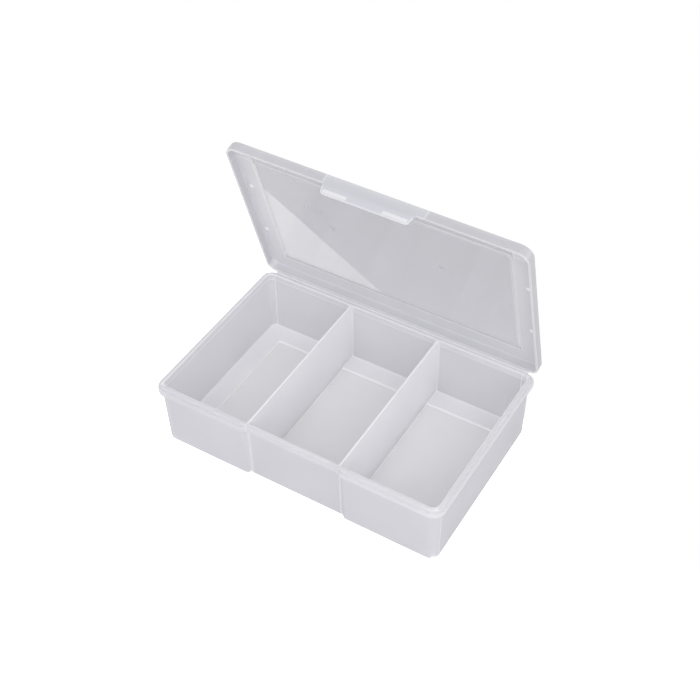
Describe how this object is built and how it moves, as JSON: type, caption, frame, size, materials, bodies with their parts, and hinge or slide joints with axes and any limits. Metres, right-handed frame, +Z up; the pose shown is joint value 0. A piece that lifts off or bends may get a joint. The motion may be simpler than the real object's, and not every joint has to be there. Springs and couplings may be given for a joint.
{
  "type": "compartment organizer box",
  "caption": "Translucent rectangular organizer box with fixed dividers, a film-hinged lid with a sunken stacking panel, and a snap latch tab.",
  "frame": {"origin": "middle of the stacking foot's underside, on the surface the box stands on", "axes": "+X along the row of compartments, -Y the front with the latch, +Y the hinge side, +Z up"},
  "size_m": [0.2714, 0.1825, 0.2322],
  "materials": {
    "natural_polypropylene": "translucent natural polypropylene, satin walls with a polished lid panel"
  },
  "bodies": {
    "tray": {"tray": "natural_polypropylene", "left_divider": "natural_polypropylene", "right_divider": "natural_polypropylene", "hinge_film": "natural_polypropylene"},
    "lid": {"lid": "natural_polypropylene"},
    "latch": {"latch_tab": "natural_polypropylene", "latch_nubs": "natural_polypropylene"}
  },
  "joints": [
    {"name": "lid_hinge", "type": "hinge", "parent": "tray", "child": "lid", "pos_m": [0, 0.0878, 0.06258], "axis": [-1, 0, 0], "range_deg": [-74, 106], "deforming": ["hinge_film"]},
    {"name": "latch_flex", "type": "hinge", "parent": "lid", "child": "latch", "pos_m": [0, 0.03986, 0.23005], "axis": [-1, 0, 0], "range_deg": [0, 12], "stiffness_Nm_per_rad": 0.25}
  ]
}
